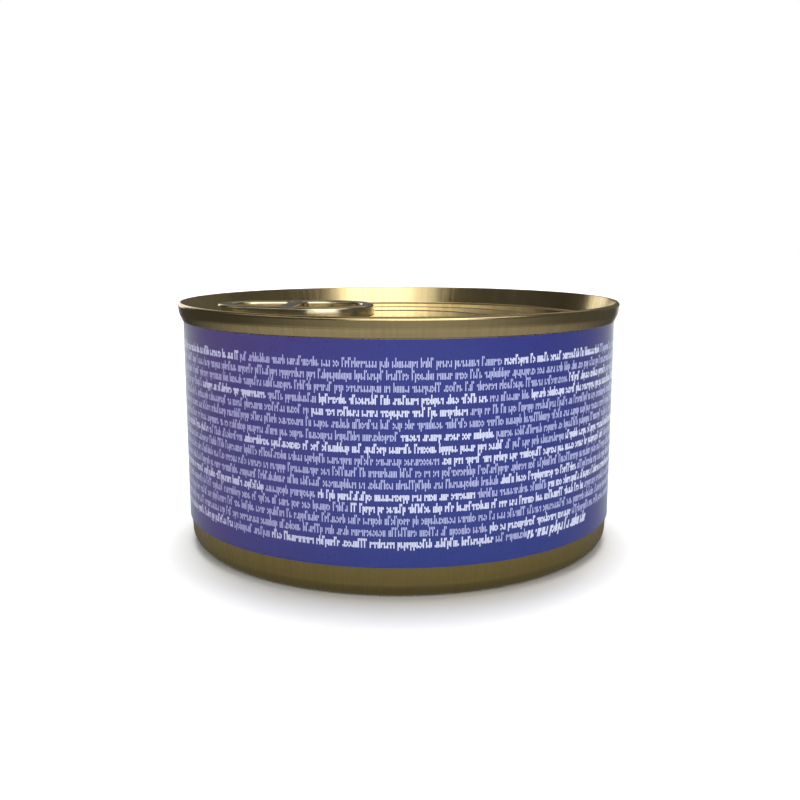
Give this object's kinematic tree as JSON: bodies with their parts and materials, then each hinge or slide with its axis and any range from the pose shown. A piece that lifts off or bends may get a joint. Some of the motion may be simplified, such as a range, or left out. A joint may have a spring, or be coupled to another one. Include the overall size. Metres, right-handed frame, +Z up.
{
  "type": "can of cat food",
  "caption": "Shut round low can of cat food: gold metal body, ring-pull end inside a raised seam, and a printed paper label round the wall.",
  "frame": {"origin": "middle of the base, on the surface that the can stands on", "axes": "+Z up along the can's axis; -Y out of the text side of the label; +X to the right of it"},
  "size_m": [0.0682, 0.0682, 0.0371],
  "materials": {
    "gold_metal": "gold-lacquered tinplate, satin gloss",
    "pull_metal": "bright pale gold lacquer over steel",
    "label_paper": "coated paper, glossy blue-violet print"
  },
  "bodies": {
    "root": {"can_body": "gold_metal", "can_end": "gold_metal", "ring_pull": "pull_metal", "label": "label_paper"}
  },
  "joints": []
}
